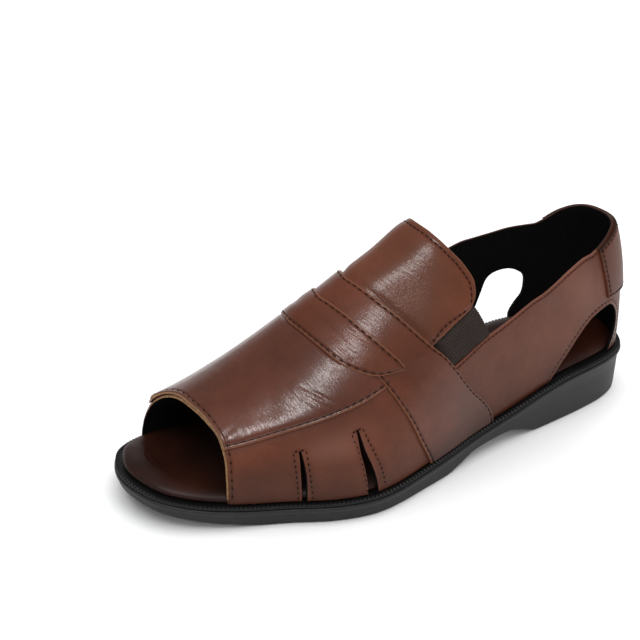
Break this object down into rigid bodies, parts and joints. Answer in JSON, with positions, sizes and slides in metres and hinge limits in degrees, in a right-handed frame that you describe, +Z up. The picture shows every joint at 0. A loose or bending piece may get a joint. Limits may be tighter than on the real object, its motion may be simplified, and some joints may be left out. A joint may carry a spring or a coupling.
{
  "type": "leather sandal",
  "caption": "Left slip-on leather sandal with open toe, slit wings, saddle strap, padded tongue, elastic gores, closed heel with side cut-outs and a low rubber sole.",
  "frame": {"origin": "centre of the sole's bounding box, on the floor plane under the sole", "axes": "+X from heel to toe along the longest extent, +Y to the wearer's left, the lateral side of this left shoe, +Z up"},
  "size_m": [0.29, 0.1062, 0.1156],
  "materials": {
    "sole_rubber": "moulded charcoal rubber, satin",
    "welt_board": "black wheeled edge, semi-matt",
    "footbed_leather": "dark brown smooth leather, satin",
    "waxed_leather": "waxed brown leather, low sheen",
    "polished_leather": "polished reddish-brown leather, glossy",
    "gore_elastic": "ribbed woven elastic, matt"
  },
  "bodies": {
    "root": {"outsole": "sole_rubber", "welt": "welt_board", "insole": "footbed_leather", "upper": "waxed_leather", "plug": "polished_leather", "keeper": "polished_leather", "saddle": "polished_leather", "tongue": "polished_leather", "gore_lateral": "gore_elastic", "gore_medial": "gore_elastic", "counter": "waxed_leather"}
  },
  "joints": []
}
